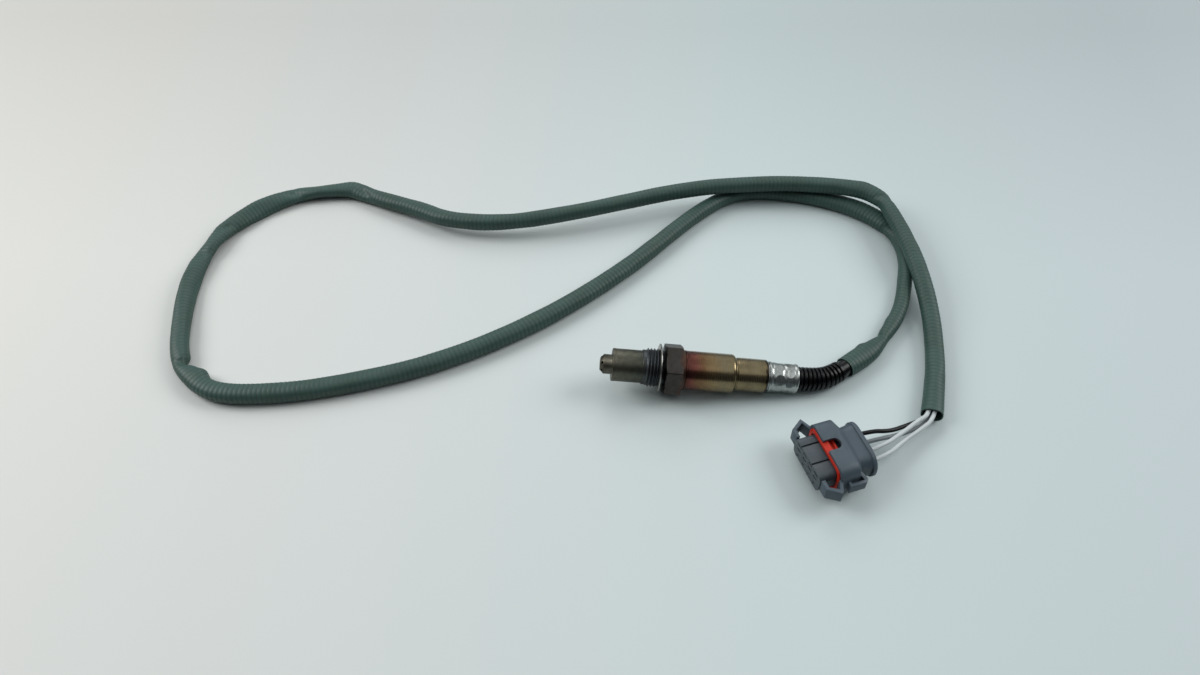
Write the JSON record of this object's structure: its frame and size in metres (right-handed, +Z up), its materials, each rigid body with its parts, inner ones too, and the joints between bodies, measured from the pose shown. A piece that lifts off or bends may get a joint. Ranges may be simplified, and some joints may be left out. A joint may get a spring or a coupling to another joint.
{
  "type": "oxygen sensor",
  "caption": "Four-wire exhaust oxygen sensor with an M18 threaded probe, a sleeved cable and a rectangular plug, lying in its loose loop.",
  "frame": {"origin": "on the surface that the sensor lies on, under the middle of its rigid probe, cable and plug left out", "axes": "+X along the probe from its sensing tip to its cable end, +Z up from the surface; the probe's own axis falls about 6 degrees towards the cable"},
  "size_m": [0.3874, 0.2075, 0.0254],
  "materials": {
    "protection_steel": "heat-stained drawn steel",
    "shell_steel": "heat-darkened machined steel",
    "gasket_steel": "bright folded sheet",
    "sleeve_steel": "heat-tinted drawn steel",
    "ferrule_steel": "bright crimped steel",
    "ceramic": "fired alumina",
    "zirconia": "sintered strip",
    "talc": "pressed powder",
    "spring_steel": "bright strip",
    "grommet_rubber": "fluororubber",
    "boot_rubber": "glossy black rubber",
    "sleeve_green": "ribbed sage-green sleeving",
    "wire_black": "insulation",
    "wire_grey": "insulation",
    "wire_white": "insulation",
    "housing_grey": "moulded blue-grey nylon",
    "carrier_grey": "moulded grey nylon",
    "seal_red": "red-orange silicone",
    "terminal_tin": "tinned"
  },
  "bodies": {
    "root": {"inner_protection_tube": "protection_steel", "outer_protection_tube": "protection_steel", "hex_shell": "shell_steel", "gasket_ring": "gasket_steel", "protective_sleeve": "sleeve_steel", "crimp_ferrule": "ferrule_steel", "sensor_element": "zirconia", "front_ceramic_bush": "ceramic", "talc_packing": "talc", "rear_ceramic_bush": "ceramic", "packing_ring": "spring_steel", "contact_holder": "ceramic", "holder_clip": "spring_steel", "contact_springs": "spring_steel", "cable_grommet": "grommet_rubber", "bend_boot": "boot_rubber", "cable_sleeve": "sleeve_green", "wire_black": "wire_black", "wire_grey": "wire_grey", "wire_white_1": "wire_white", "wire_white_2": "wire_white", "connector_shell": "housing_grey", "terminal_carrier": "carrier_grey", "carrier_seal": "seal_red", "terminal_lock": "carrier_grey", "connector_rear_cap": "housing_grey", "connector_terminals": "terminal_tin", "wire_seals": "seal_red"}
  },
  "joints": []
}
